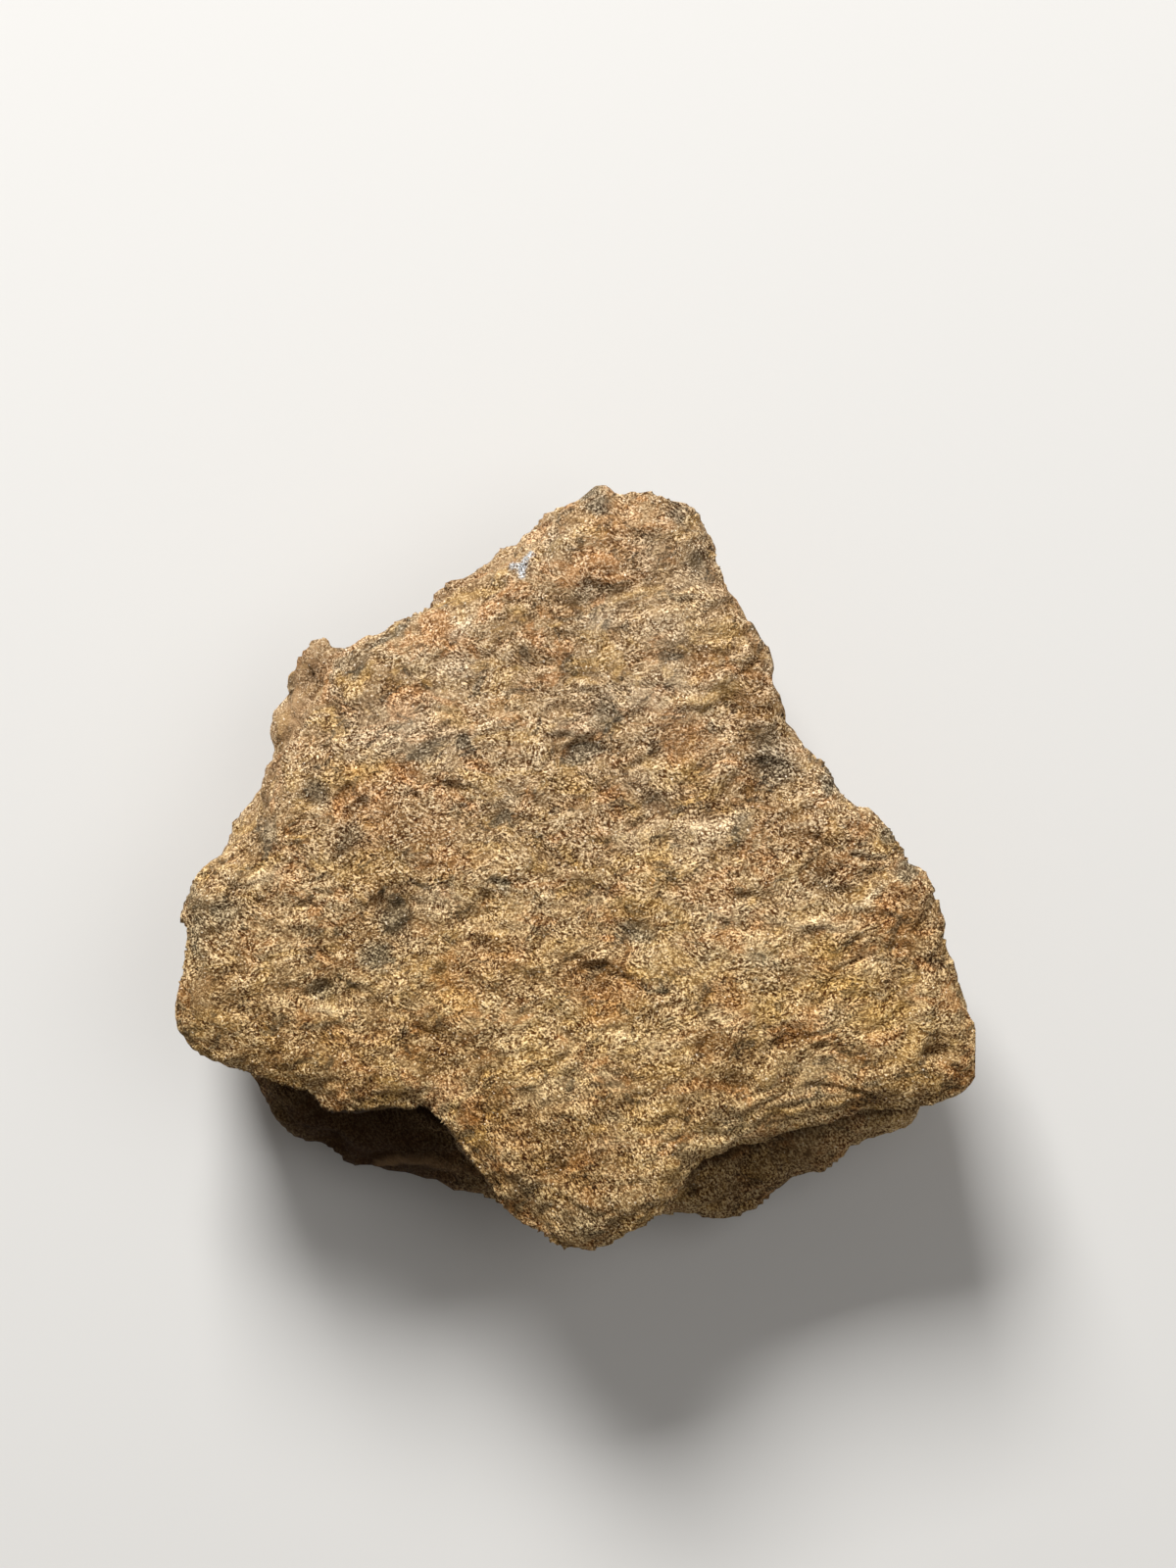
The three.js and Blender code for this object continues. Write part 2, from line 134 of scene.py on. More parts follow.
RIDGES = [
    [-12.6, -0.4, 1.2, 0.3, 14, 0.13], [-9.9, -5.6, 0.7, 0.22, -6, 0.13], [2.8, 1.2, 1.2, 0.35, 12, 0.1],
    [5.1, 1.4, 1.0, 0.45, 10, 0.12], [4.0, 3.6, 1.7, 0.3, -25, 0.16], [0.1, 3.2, 0.7, 0.18, -50, 0.1],
    [-3.0, 2.7, 0.65, 0.25, 15, 0.12], [-5.9, 4.2, 1.1, 0.28, 5, 0.12], [-2.6, -0.3, 0.8, 0.2, 10, 0.1],
    [6.1, -1.9, 0.8, 0.4, 20, 0.12], [9.0, -2.1, 1.6, 0.25, -5, 0.12], [8.6, -1.1, 0.7, 0.12, -50, 0.12],
    [9.7, -1.5, 0.8, 0.12, -15, 0.12], [11.1, -1.5, 0.7, 0.12, 30, 0.12], [12.0, -0.9, 0.5, 0.12, 45, 0.12],
    [7.2, -3.8, 0.8, 0.3, 0, 0.1], [4.3, -3.6, 0.8, 0.3, 10, 0.1], [2.4, -6.8, 1.6, 0.3, -5, 0.12],
    [10.1, -7.7, 1.2, 0.22, -5, 0.12], [9.5, -8.5, 0.8, 0.22, 5, 0.12], [-4.7, 9.3, 0.5, 0.3, 0, 0.1],
    [-6.3, 8.0, 0.6, 0.3, 0, 0.1], [6.6, -10.2, 1.6, 0.18, 16, 0.14], [0.9, 9.5, 0.9, 0.3, 0, 0.08],
    [10.2, -2.7, 1.0, 0.2, 10, 0.12], [7.7, 7.1, 0.6, 0.2, -20, 0.12], [-0.1, -6.1, 1.2, 0.25, 5, 0.08],
]
PALE_STAINS = [
    [2.8, 1.2, 1.2, 0.6, 12, 0.4], [5.2, 1.5, 1.2, 0.7, 10, 0.9], [6.4, 2.0, 0.7, 0.6, 0, 0.8],
    [-12.4, -0.5, 1.3, 0.5, 14, 0.5], [-9.8, -5.7, 0.8, 0.3, -6, 0.7], [-4.7, 7.8, 0.9, 0.6, 0, 0.6],
    [-3.0, 2.7, 0.7, 0.3, 15, 0.7], [-5.6, -1.2, 1.3, 0.8, 0, 0.55], [6.1, -1.9, 1.0, 0.6, 20, 0.7],
    [9.0, -2.1, 1.8, 0.4, -5, 0.6], [7.2, -3.8, 0.9, 0.45, 0, 0.7], [11.5, -4.0, 0.8, 0.6, 0, 0.5],
    [2.4, -6.8, 2.0, 0.5, -5, 0.5], [9.8, -8.0, 1.4, 0.6, 0, 0.5], [-12.2, 1.7, 0.5, 0.4, 0, 0.6],
    [1.0, 9.6, 0.8, 0.5, 0, 0.8], [-4.7, 9.2, 0.6, 0.4, 0, 0.6], [-6.3, 8.0, 0.7, 0.5, 0, 0.5],
    [-0.6, -8.6, 1.6, 0.9, 20, 0.5], [0.6, 5.9, 0.9, 0.6, 0, 0.35], [8.7, -0.9, 1.0, 0.5, -30, 0.4],
    [1.3, -8.3, 0.9, 0.35, -10, 0.7], [1.0, -10.9, 1.1, 0.3, 0, 0.6], [9.7, -2.4, 0.6, 0.2, 0, 0.8],
    [4.2, 10.6, 1.6, 2.0, 0, 0.5], [-7.2, 5.5, 2.8, 1.3, 10, 0.55], [2.2, 6.6, 2.2, 0.8, 0, 0.5],
    [2.8, 3.4, 1.6, 0.6, -10, 0.35], [1.0, -1.3, 0.9, 0.6, 0, 0.4], [5.9, -5.9, 0.9, 0.6, 0, 0.4],
    [10.5, -5.8, 1.3, 0.7, 0, 0.35], [-5.4, -9.2, 1.5, 0.5, 0, 0.45], [9.0, -9.0, 1.3, 0.5, 10, 0.4],
    [6.0, -10.5, 1.3, 0.6, 15, 0.7], [3.9, 7.2, 0.9, 1.5, 0, 0.4], [4.3, 1.0, 0.9, 1.3, 0, 0.45],
    [-4.9, 4.9, 1.0, 0.8, 0, 0.5], [-0.2, 5.6, 1.2, 0.4, 0, 0.5], [7.4, 5.4, 0.8, 0.3, 0, 0.4],
    [2.9, 12.4, 0.9, 0.8, 0, 0.45], [-4.9, -8.7, 1.3, 0.5, 0, 0.4], [1.3, 10.1, 0.9, 0.6, 0, 0.4],
    [-4.6, 9.4, 0.7, 0.25, 45, 0.9], [-8.3, 5.3, 0.8, 0.4, -20, 0.4], [-2.8, 6.0, 0.9, 0.4, 20, 0.4],
]
RUST_STAINS = [
    [-7.7, 2.2, 1.8, 1.6, 0, 0.6], [-6.6, 3.8, 0.9, 0.4, 0, 0.8], [-5.0, 0.4, 1.6, 0.9, 0, 0.7],
    [-5.6, 1.2, 1.2, 1.2, 0, 0.5], [1.1, -4.6, 1.7, 0.9, -8, 0.8], [-8.6, -3.5, 0.5, 0.5, 0, 0.7],
    [1.2, -5.5, 1.2, 0.7, 0, 0.7], [4.2, 5.0, 1.3, 1.0, 0, 0.6], [1.4, 13.2, 1.0, 0.9, 0, 0.5],
    [1.4, 12.0, 0.9, 0.8, 0, 0.4], [5.5, -7.0, 0.8, 0.8, 0, 0.8], [-3.2, -3.3, 1.4, 0.8, 0, 0.6],
    [8.9, 1.4, 1.4, 1.0, 0, 0.5], [13.0, -2.0, 1.0, 1.2, 0, 0.4], [-4.9, -8.7, 0.7, 0.5, 0, 0.9],
    [6.0, -5.0, 0.9, 0.7, 0, 0.5], [7.0, 6.2, 1.2, 0.8, 0, 0.4], [-8.6, -6.6, 1.6, 0.6, 0, 0.3],
    [-2.2, -10.6, 1.2, 0.5, 0, 0.4], [-7.9, -1.2, 1.0, 1.0, 0, 0.35], [5.0, 8.0, 0.8, 0.6, 0, 0.5],
]
OCHRE_STAINS = [
    [10.4, -4.6, 1.6, 0.9, 0, 0.8], [11.8, -5.8, 1.4, 0.7, 0, 0.7], [2.2, -1.5, 1.3, 0.6, 0, 0.8],
    [4.0, 3.6, 1.6, 0.5, -25, 0.7], [4.2, 6.6, 0.9, 0.5, 0, 0.8], [4.4, 10.2, 1.2, 0.6, 0, 0.6],
    [-4.8, 5.9, 0.9, 0.6, 0, 0.7], [-2.6, 6.4, 0.9, 0.7, 0, 0.5], [-4.6, -5.2, 1.0, 0.6, 0, 0.6],
    [7.6, -5.0, 1.6, 0.7, 0, 0.5], [3.2, -0.2, 1.0, 0.7, 0, 0.5], [-5.6, -4.0, 1.0, 1.2, 0, 0.4],
    [8.6, -0.1, 0.9, 0.6, 0, 0.3], [-3.2, -1.6, 1.2, 0.5, 0, 0.4], [-2.2, -8.0, 1.2, 0.6, 0, 0.3],
    [2.5, -4.0, 0.7, 0.5, 0, 1.0], [9.8, -3.2, 0.8, 0.6, 0, 0.7], [-8.4, 3.8, 1.4, 0.7, 0, 0.8],
]
GREY_STAINS = [
    [0.2, 4.5, 0.85, 0.5, 20, 1.0], [0.9, 6.0, 0.8, 0.8, 0, 0.6], [7.8, 4.2, 1.1, 1.3, 0, 0.7],
    [3.0, 2.5, 0.8, 0.9, -50, 0.6], [-3.0, 2.0, 0.5, 0.35, 20, 0.8], [-2.8, -0.7, 0.5, 0.5, 0, 0.9],
    [2.1, -2.5, 1.0, 0.6, 0, 0.8], [-7.2, -2.0, 0.8, 1.3, 10, 0.8], [-5.9, 4.6, 1.3, 0.5, 0, 0.7],
    [-10.3, 3.0, 0.8, 0.7, 0, 0.7], [-8.7, 1.2, 0.7, 1.0, 0, 0.5], [-12.1, 1.4, 0.7, 1.2, -30, 0.6],
    [-13.9, -1.6, 0.7, 1.2, 40, 0.7], [-14.8, -2.4, 0.8, 2.2, 0, 0.6], [-10.0, -4.9, 0.9, 0.6, 0, 0.7],
    [13.0, 0.0, 0.8, 0.5, -50, 1.0], [0.9, 14.5, 0.7, 0.6, 0, 0.9], [4.0, 14.0, 0.9, 0.6, -30, 0.7],
    [4.9, 12.0, 0.7, 1.0, 0, 0.6], [6.7, 2.0, 0.6, 1.0, 0, 0.5], [9.9, -0.6, 1.0, 0.7, -30, 0.5],
    [7.2, -3.6, 1.0, 0.5, 0, 0.5], [3.3, -4.7, 1.0, 0.4, 0, 0.4], [1.8, -9.9, 1.0, 0.5, 0, 0.5],
    [-1.9, -12.6, 1.2, 0.8, -50, 0.5], [0.5, -14.0, 1.6, 0.7, 0, 0.5], [-8.8, 8.0, 1.0, 0.9, 0, 0.5],
    [-0.8, 12.7, 0.7, 0.7, 0, 0.5], [-1.8, 11.6, 0.6, 0.6, 0, 0.4], [-6.9, 5.6, 0.9, 0.7, 0, 0.4],
    [9.9, 3.5, 0.6, 0.5, -30, 0.9], [12.4, 1.4, 0.5, 0.5, -40, 1.0], [0.5, 10.9, 1.5, 0.5, 0, 0.5],
    [3.9, 8.2, 0.6, 0.8, 0, 0.3], [-15.2, -1.0, 0.6, 1.4, 20, 0.6], [6.6, 1.4, 0.5, 0.5, 0, 0.5],
    [-7.3, 9.1, 1.7, 0.3, 32, 0.7], [-8.8, 7.5, 0.6, 0.35, 30, 0.7], [-9.4, 6.6, 0.7, 0.45, -20, 0.4],
    [-4.2, 7.0, 0.9, 0.7, 0, 0.3], [-4.2, 4.7, 0.5, 0.4, -40, 0.8], [0.6, 15.0, 0.5, 0.6, 0, 0.8],
    [-6.3, 4.3, 0.8, 0.18, 15, 0.8], [-7.8, -3.4, 0.7, 0.6, -30, 0.8], [2.9, -3.7, 0.7, 0.4, 0, 0.4],
    [5.2, -3.6, 0.9, 0.5, 0, 0.5],
]
# The first three are painted shade: they darken the spur, the left side and the lower left rim, where the
# face turns away from the light. The rest darken patches of the face.
UMBER_PATCHES_AND_EDGE_SHADE = [
    [0.3, -13.2, 3.6, 2.4, 0, 0.55], [-14.2, -3.6, 2.2, 4.2, 0, 0.5], [-12.2, -7.4, 3.6, 1.6, -15, 0.7],
    [-8.4, -7.6, 2.2, 0.8, 0, 0.45], [1.6, 4.2, 2.4, 2.0, -20, 0.25], [-1.4, 2.0, 2.2, 1.4, -10, 0.35],
    [-7.4, -1.6, 1.6, 2.6, 10, 0.6], [7.6, 5.4, 1.6, 2.6, 10, 0.6], [-3.9, -7.4, 1.8, 1.2, 0, 0.5],
    [-1.2, -4.4, 2.4, 1.2, 0, 0.45], [3.6, 11.6, 1.6, 2.4, -20, 0.5], [12.4, -8.6, 2.4, 1.2, 0, 0.5],
    [5.6, -7.6, 2.0, 1.4, 0, 0.5], [9.8, 0.4, 2.0, 1.4, -30, 0.45], [-9.6, -3.4, 1.4, 1.6, 0, 0.4],
    [7.6, 3.6, 1.2, 1.5, 10, 0.75], [10.2, -1.1, 1.5, 1.0, -20, 0.8], [-5.5, -6.4, 0.8, 0.8, 0, 0.8],
    [0.9, -4.3, 1.5, 0.6, -18, 0.8], [-6.9, -1.6, 0.8, 1.7, 10, 0.7], [7.3, 6.4, 1.2, 0.6, -10, 0.7],
    [-13.8, -2.4, 0.6, 1.6, 10, 0.6], [-8.9, 1.4, 0.6, 1.2, 0, 0.6], [-10.6, 3.1, 0.7, 0.5, 0, 0.7],
    [5.7, -6.9, 0.9, 0.7, 60, 0.7], [1.6, -9.5, 0.9, 0.5, 40, 0.6], [-1.0, -11.4, 0.6, 0.9, -30, 0.6],
    [-6.4, 1.8, 1.3, 1.0, 0, 0.5], [8.2, 1.8, 1.7, 0.8, 0, 0.45], [-8.0, -2.8, 1.1, 0.9, 0, 0.6],
    [-3.6, -4.4, 1.9, 0.8, 0, 0.5], [-11.0, -4.4, 1.0, 0.8, 0, 0.45], [7.2, -4.4, 1.5, 0.8, 0, 0.55],
    [2.8, -5.9, 1.4, 0.8, 0, 0.6], [-4.9, -7.5, 0.9, 0.8, 0, 0.6], [2.8, -8.2, 1.0, 1.1, 0, 0.45],
    [-0.6, -10.1, 2.4, 1.3, 0, 0.5], [-1.8, -0.5, 1.1, 0.7, 0, 0.35], [4.3, -1.3, 0.9, 0.6, 0, 0.35],
    [12.0, -7.5, 1.3, 0.6, 0, 0.4], [9.0, -7.5, 0.9, 0.5, 0, 0.35], [-8.2, -3.0, 1.3, 1.0, 0, 0.9],
    [-3.3, -4.6, 1.2, 0.7, 0, 0.8], [-5.1, -7.3, 1.2, 0.9, 0, 0.9], [-0.5, -10.6, 2.1, 1.2, 0, 0.8],
    [2.8, -5.9, 1.2, 0.7, 0, 0.9], [7.7, -4.4, 1.0, 0.7, 0, 0.75], [8.3, 2.0, 1.3, 0.9, 0, 0.7],
    [-6.6, 1.6, 0.9, 0.8, 0, 0.7], [-4.8, 1.0, 0.8, 0.6, 0, 0.4], [2.5, -1.7, 0.7, 0.5, 0, 0.5],
    [0.4, 1.9, 1.4, 0.7, 0, 0.5],
    [10.4, -1.4, 0.9, 0.7, 0, 0.8], [-3.6, -3.0, 1.2, 0.5, 0, 0.5], [-14.2, -7.0, 1.0, 0.7, 0, 0.6],
]
# Painted shade: two patches of the rear layer, where it shows under the face, are darkened.
HOLLOW_SHADE_PATCHES = [  # on the rear layer, where it shows under the face
    [-8.4, -11.0, 7.0, 3.4, -25, 0.8], [7.4, -12.4, 6.0, 3.0, 28, 0.42],
]
SMOOTH_STAINS = [  # the knob and the strips of wall that show beyond the face at the upper left
    [-10.6, 8.1, 1.3, 1.0, 50, 1.0], [-11.2, 6.0, 2.6, 0.7, 68, 1.0], [-12.2, 3.2, 1.9, 0.6, 60, 0.8],
    [-5.2, 10.9, 1.7, 0.55, 25, 0.8], [-3.1, 12.4, 1.1, 0.5, 45, 0.7], [-14.6, -4.8, 0.5, 1.4, 0, 0.5],
]
WALL_CREASES = [  # the two ends of each stroke, [x, y, x, y], as in the lists below
    [-9.2, 8.8, -9.9, 8.0], [-9.9, 8.0, -10.5, 6.9], [-10.5, 6.9, -11.1, 5.6], [-11.1, 5.6, -11.9, 4.6],
    [-9.6, 8.9, -10.4, 7.7], [-10.4, 7.7, -11.0, 6.4], [-11.5, 7.0, -11.3, 6.0], [-12.1, 4.3, -12.9, 3.0],
    [-12.9, 3.0, -13.6, 1.9], [-12.3, 5.2, -12.5, 4.0], [-6.3, 10.3, -4.9, 10.9], [-4.9, 10.9, -3.7, 11.9],
    [-3.4, 12.0, -2.3, 12.8],
]
CREASE_WIDTH = 0.3
CRACKS = [
    [2.8, 14.7, 4.3, 13.5], [-7.1, 3.7, -6.6, 3.2], [-6.6, 3.2, -6.1, 2.8], [0.4, -4.0, 1.6, -4.4],
    [1.6, -4.4, 2.3, -4.3], [3.6, -0.2, 4.3, -1.0], [-7.6, -1.0, -7.9, -2.2], [-6.2, -6.2, -5.4, -7.2],
    [8.9, 2.4, 10.1, 1.9], [9.4, 1.2, 10.4, 0.6], [10.2, -4.0, 11.8, -3.4], [9.4, -8.6, 11.6, -8.9],
    [10.9, 0.5, 12.2, 0.3],
]
PALE_LINES = [
    [8.6, -0.4, 9.3, -1.1], [9.3, -1.1, 10.1, -1.5], [10.1, -1.5, 11.3, -1.5], [11.3, -1.5, 12.0, -0.9],
    [-10.4, -5.6, -9.4, -5.7], [-4.9, 9.1, -4.1, 9.8], [10.9, 0.65, 12.1, 0.5], [8.3, 1.6, 9.7, 1.9],
]
LEDGE_LINES = [  # on the rear layer, in the left hollow
    [-8.0, -12.0, -7.1, -11.8], [-7.1, -11.8, -6.3, -11.75], [-6.3, -11.75, -5.5, -11.85],
    [-5.5, -11.85, -4.5, -12.1], [-4.5, -12.1, -3.8, -12.4],
]
LEDGE_WIDTH = 0.24
LINE_WIDTH = 0.16
BARE_STROKES = [  # a fresh nick through the crust, where bare metal shows
    [-2.45, 11.9, -2.1, 11.8], [-2.1, 11.8, -1.65, 12.35], [-2.15, 11.8, -2.05, 11.45],
    [-1.9, 12.1, -2.1, 11.6],
]
BARE_WIDTH = 0.16


def vectors(rows, name):
    """The x, y and z that each row of the mesh data holds."""
    flat = np.empty(len(rows) * 3)
    rows.foreach_get(name, flat)
    return flat.reshape(-1, 3)


def sampled(points, wavelength, seed):
    """Noise of one wavelength at each point, from about -1 to 1."""
    shift = Vector((seed, 1.7 * seed, -0.6 * seed))
    return np.array([noise.noise(Vector(point) / wavelength + shift) for point in points])


def smoothstep(values, start, end):
    """Turns the stretch of the values from start to end, up or down, into 0 to 1."""
    share = np.clip((values - start) / (end - start), 0, 1)
    return share * share * (3 - 2 * share)


places = vectors(skin.data.vertices, "co")
normals = vectors(skin.data.vertex_normals, "vector")

# Where one part of the skin gives way to the next: by the upward part of its normal, or by
# its height.
FACE_TURN = (0.2, 0.6)
FACE_RISE = (FACE_LOWEST, 7.6)
UPPER_RISE = (3.0, 4.5)
LEDGE_TURN = (0.0, 0.3)
RIM_TURN = (0.05, 0.3)
RIM_TOP_TURN = (0.75, 0.5)
SPOT_RISE = (0.02, 0.5)
GREY_RISE = (5.6, FACE_LOWEST)
on_face = smoothstep(normals[:, 2], *FACE_TURN) * smoothstep(places[:, 2], *FACE_RISE)
upper = smoothstep(places[:, 2], *UPPER_RISE)  # all that stands above the rear layer
rear_top = (1 - on_face) * smoothstep(normals[:, 2], *LEDGE_TURN)
rim = smoothstep(normals[:, 2], *RIM_TURN) * smoothstep(normals[:, 2], *RIM_TOP_TURN)
on_spot = smoothstep(places[:, 2], *SPOT_RISE)

# How much of the sky that each point off the face looks at is hidden by the piece itself. The material
# paints shade from it.
SKY_TILTS = (12, 34, 54, 74)  # degrees from straight up
SKY_TURNS = 9
GRAZING = 0.05  # a ray this close to the skin doesn't count
LEAST_SKY = 0.5  # a point that faces less of the sky than this is left out
RAY_START = 0.15  # off the skin
sky = np.array([
    (math.sin(tilt) * math.cos(turn + tilt), math.sin(tilt) * math.sin(turn + tilt), math.cos(tilt))
    for tilt in np.radians(SKY_TILTS)
    for turn in np.linspace(0, 2 * math.pi, SKY_TURNS, endpoint=False)
])
sky_ways = [Vector(way) for way in sky]
faced = np.clip(normals @ sky.T - GRAZING, 0, 1)
hidden = np.zeros(len(places))
body = BVHTree.FromObject(skin, bpy.context.evaluated_depsgraph_get())
for index in np.flatnonzero((on_face < 0.5) & (faced.sum(axis=1) > LEAST_SKY)):
    start = Vector(places[index] + RAY_START * normals[index])
    weights = faced[index]
    blocked = [weight > 0 and body.ray_cast(start, way)[0] is not None
               for way, weight in zip(sky_ways, weights)]
    hidden[index] = weights[blocked].sum() / weights.sum()

# The wall tore in thin layers. The face crinkles in folds that run almost along X, and that are
# longer on its right side.
FOLD_TILT = math.radians(14)
FOLD_STRETCH = 0.15
RIGHT_STRETCH = 0.2
RIGHT_SIDE = 10
LAYER_SQUASH = 1.4
WARP_REACH = 0.55
along = places[:, 0] * math.cos(FOLD_TILT) + places[:, 1] * math.sin(FOLD_TILT)
across = places[:, 1] * math.cos(FOLD_TILT) - places[:, 0] * math.sin(FOLD_TILT)
stretch = 1 - FOLD_STRETCH * on_face - RIGHT_STRETCH * on_face * smoothstep(along, 0, RIGHT_SIDE)
layer_height = places[:, 2] * (1 + LAYER_SQUASH * (1 - on_face))
layered = np.stack([along * stretch, across, layer_height], axis=1)
warp = np.stack([sampled(layered, wavelength=1.6, seed=seed) for seed in (3.1, 5.3, 7.7)], axis=1)
fray = np.stack([sampled(layered, wavelength=0.6, seed=seed) for seed in (23.1, 25.3)], axis=1)
warped = layered + WARP_REACH * warp

OVAL_WARP = 0.45
OVAL_FRAY = 0.22
OVAL_REACH = 1.25  # a soft oval fades out this many times its half width from its middle
OVAL_POWER = 1.5
LINE_WARP = 0.12
LINE_FRAY = 0.08
LINE_CORE = 0.25  # the share of its width over which a line is full


def blotches(features, where):
    """The strongest of a list of soft ovals at each point of a part of the skin, with ragged edges."""
    strongest = np.zeros(len(places))
    x = places[:, 0] + OVAL_WARP * warp[:, 0] + OVAL_FRAY * fray[:, 0]
    y = places[:, 1] + OVAL_WARP * warp[:, 1] + OVAL_FRAY * fray[:, 1]
    for cx, cy, half_length, half_width, tilt, strength in features:
        turn = math.radians(tilt)
        u = ((x - cx) * math.cos(turn) + (y - cy) * math.sin(turn)) / (OVAL_REACH * half_length)
        v = ((y - cy) * math.cos(turn) - (x - cx) * math.sin(turn)) / (OVAL_REACH * half_width)
        strongest = np.maximum(strongest, strength * np.clip(1 - u * u - v * v, 0, 1) ** OVAL_POWER)
    return strongest * where


def lines(strokes, width, where):
    """1 on each straight stroke and 0 beyond its width, at each point of a part of the skin."""
    spots = places[:, :2] + LINE_WARP * warp[:, :2] + LINE_FRAY * fray[:, :2]
    nearest = np.full(len(places), np.inf)
    for x0, y0, x1, y1 in strokes:
        start = np.array([x0, y0])
        run = np.array([x1, y1]) - start
        share = np.clip((spots - start) @ run / (run @ run), 0, 1)
        nearest = np.minimum(nearest, np.linalg.norm(spots - start - share[:, None] * run, axis=1))
    return (1 - smoothstep(nearest, LINE_CORE * width, width)) * where


def folded(values):
    """Sharp crests where a noise passes 0, and rounded valleys between them."""
    return 1 - 2 * np.abs(values)


CRUMB_WARP = 0.15
CRUMB_GAIN = 2.6
CRUMB_LEVEL = 0.6
GRAIN_WARP = 0.2
STRATA_SPREAD = (0.5, 0.5, 1.3)
swells = sampled(layered, wavelength=3.6, seed=9.0)
crinkles = folded(sampled(warped, wavelength=1.9, seed=11.0))
dimples = sampled(warped, wavelength=1.0, seed=13.0)
crumbs = np.abs(sampled(warped + CRUMB_WARP * warp, wavelength=0.8, seed=17.0))
crumbs = CRUMB_GAIN * crumbs - CRUMB_LEVEL
grains = sampled(layered + GRAIN_WARP * warp, wavelength=0.3, seed=19.0)
strata = folded(sampled(warped * STRATA_SPREAD, wavelength=1.1, seed=29.0))
pits = blotches(PITS, on_face)
ridges = blotches(RIDGES, on_face)
wall_creases = lines(WALL_CREASES, CREASE_WIDTH, upper)
cracks = lines(CRACKS, LINE_WIDTH, upper)
pale_lines = lines(PALE_LINES, LINE_WIDTH, on_face)
ledge = lines(LEDGE_LINES, LEDGE_WIDTH, rear_top)
bare = lines(BARE_STROKES, BARE_WIDTH, on_face)
smooth = blotches(SMOOTH_STAINS, upper)

# How far each of these raises or sinks the skin.
SWELL_HEIGHT = 0.16
CRINKLE_HEIGHT = 0.07
DIMPLE_HEIGHT = 0.14
STRATA_HEIGHT = 0.14
CRUMB_HEIGHT = 0.11
GRAIN_HEIGHT = 0.045
PIT_DEPTH = 0.8  # times its strength, as is a ridge's height
RIDGE_HEIGHT = 0.7
CREASE_DEPTH = 0.16
CRACK_DEPTH = 0.14
PALE_LINE_HEIGHT = 0.05
LEDGE_HEIGHT = 0.1
WALL_ROUGHNESS = 1.5  # the torn wall and the underside are rougher than the face
WALL_CRUMBS = 0.35
RIM_CALM = 0.4
RIM_CRUMB_CALM = 0.7
SMOOTH_CRUMB_CALM = 0.8
roughness = WALL_ROUGHNESS - (WALL_ROUGHNESS - 1) * on_face
relief = roughness * (SWELL_HEIGHT * swells + CRINKLE_HEIGHT * crinkles + DIMPLE_HEIGHT * dimples)
relief = relief * (1 - RIM_CALM * rim) + STRATA_HEIGHT * strata * (1 - on_face)
crumbly = WALL_CRUMBS + (1 - WALL_CRUMBS) * on_face
crumbly = crumbly * (1 - RIM_CRUMB_CALM * rim) * (1 - SMOOTH_CRUMB_CALM * smooth)
relief = relief + (CRUMB_HEIGHT * crumbs + GRAIN_HEIGHT * grains) * crumbly
sunk = PIT_DEPTH * pits + CREASE_DEPTH * wall_creases + CRACK_DEPTH * cracks
height = relief - sunk + RIDGE_HEIGHT * ridges + PALE_LINE_HEIGHT * pale_lines + LEDGE_HEIGHT * ledge

# The flat spot under the piece stays flat.
places += normals * (height * on_spot)[:, None]

# The top edge has a small sharp peak, and a lower one to its right.
TOP_EDGE = [  # [x, half width, rise] of each dip and peak
    [0.3, 0.5, -0.2], [1.04, 0.2, 0.08], [1.75, 0.45, -0.26], [2.8, 0.4, 0.08],
]
NEAR_TOP_EDGE = (13.2, 14.4)  # from nothing to all of it, along Y
near_top = smoothstep(places[:, 1], *NEAR_TOP_EDGE)
for middle, half_width, rise in TOP_EDGE:
    places[:, 1] += rise * near_top * np.exp(-((places[:, 0] - middle) / half_width) ** 2)

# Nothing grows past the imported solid's own reach.
lowest, highest = (np.array(corner) / MM for corner in cad_box)
places = np.clip(places, lowest, highest)
skin.data.vertices.foreach_set("co", places.ravel())

# What the material reads at each point of the skin.
RAISED_LEVEL = 0.45
RAISED_GAIN = 1.5
PIT_LOSS = 0.48
# Painted shade: the skin is darker in its pits, creases and cracks.
PIT_SHADE_GAIN = 3.2
HIDDEN_GAIN = 2.0
HOLLOW_SHADE_GAIN = 1.3
# Painted relief shading: lighter on crests and ridges, darker in dips and pits.
relief_shading = RAISED_LEVEL + RAISED_GAIN * (relief + ridges) - PIT_LOSS * pits
# The hollows get painted shade where the piece hides the sky, and in two patches under the face.
hollow_shade_patches = blotches(HOLLOW_SHADE_PATCHES, 1 - on_face)
marks = {
    "relief_shading": np.clip(relief_shading, 0, 1),
    "painted_pit_shade": np.clip(PIT_SHADE_GAIN * sunk, 0, 1),
    "painted_hollow_shade": np.maximum(HIDDEN_GAIN * hidden, HOLLOW_SHADE_GAIN * hollow_shade_patches),
    "pale": np.maximum(blotches(PALE_STAINS, on_face), pale_lines),
    "rust": blotches(RUST_STAINS, on_face),
    "ochre": blotches(OCHRE_STAINS, on_face),
    "umber": blotches(UMBER_PATCHES_AND_EDGE_SHADE, on_face),
    "grey": blotches(GREY_STAINS, smoothstep(places[:, 2], *GREY_RISE)),
    "smooth": smooth,
    "bare": bare,
    "ledge": ledge,
}
for name, values in marks.items():
    layer = skin.data.attributes.new(name, "FLOAT", "POINT")
    layer.data.foreach_set("value", values.astype(np.float32))
skin.data.transform(Matrix.Scale(MM, 4))
skin.data.shade_smooth()

